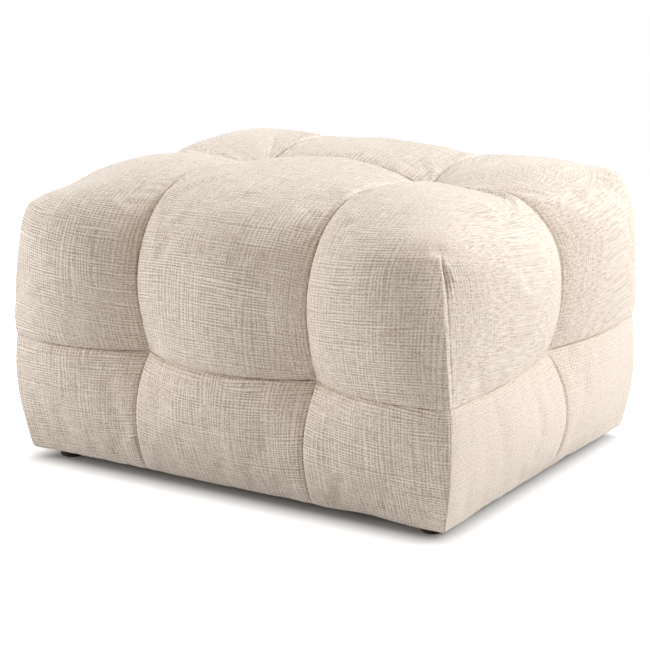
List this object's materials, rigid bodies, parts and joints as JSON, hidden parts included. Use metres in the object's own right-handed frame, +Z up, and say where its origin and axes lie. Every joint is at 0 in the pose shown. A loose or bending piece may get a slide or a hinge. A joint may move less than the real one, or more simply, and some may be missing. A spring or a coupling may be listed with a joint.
{
  "type": "pouf",
  "caption": "Low block-shaped upholstered pouf: softly puffed fields of a cream woven cover, joined by plain seams and drawn in by deep tufts, on low round feet.",
  "frame": {"origin": "on the floor, at the middle of the footprint, midway between the four feet", "axes": "+X to the right along the long side, -Y to the long front, +Z up"},
  "size_m": [0.7758, 0.6615, 0.4404],
  "materials": {
    "cover_fabric": "soft slub weave chenille",
    "foam": "matt open-cell foam",
    "hardboard": "pressed fibre board",
    "plywood": "unfinished birch plywood",
    "timber": "planed unfinished softwood",
    "twine": "waxed twine",
    "button_plastic": "moulded",
    "steel": "zinc plated",
    "foot_plastic": "moulded, dark brown",
    "dust_cover_cloth": "thin non-woven cloth"
  },
  "bodies": {
    "root": {"backing_board_back": "hardboard", "backing_board_front": "hardboard", "backing_board_left": "hardboard", "backing_board_right": "hardboard", "bottom_rail_back": "timber", "bottom_rail_front": "timber", "bottom_rail_left": "timber", "bottom_rail_right": "timber", "corner_post_back_left": "timber", "corner_post_back_right": "timber", "corner_post_front_left": "timber", "corner_post_front_right": "timber", "cover_lower_back_left": "cover_fabric", "cover_lower_back_middle": "cover_fabric", "cover_lower_back_right": "cover_fabric", "cover_lower_front_left": "cover_fabric", "cover_lower_front_middle": "cover_fabric", "cover_lower_front_right": "cover_fabric", "cover_lower_left_back": "cover_fabric", "cover_lower_left_front": "cover_fabric", "cover_lower_right_back": "cover_fabric", "cover_lower_right_front": "cover_fabric", "cover_upper_back_left": "cover_fabric", "cover_upper_back_middle": "cover_fabric", "cover_upper_back_right": "cover_fabric", "cover_upper_front_left": "cover_fabric", "cover_upper_front_middle": "cover_fabric", "cover_upper_front_right": "cover_fabric", "cross_rail_left": "timber", "cross_rail_right": "timber", "deck_screws": "steel", "dust_cover": "dust_cover_cloth", "foot_back_left": "foot_plastic", "foot_back_right": "foot_plastic", "foot_front_left": "foot_plastic", "foot_front_right": "foot_plastic", "foot_screws": "steel", "frame_screws": "steel", "middle_rail_back": "timber", "middle_rail_front": "timber", "middle_rail_left": "timber", "middle_rail_right": "timber", "seat_deck": "plywood", "seat_foam": "foam", "side_foam_back": "foam", "side_foam_front": "foam", "side_foam_left": "foam", "side_foam_right": "foam", "side_tuft_ties": "twine", "top_rail_back": "timber", "top_rail_front": "timber", "top_rail_left": "timber", "top_rail_right": "timber", "top_tuft_ties": "twine", "tuft_anchor_buttons": "button_plastic"}
  },
  "joints": []
}
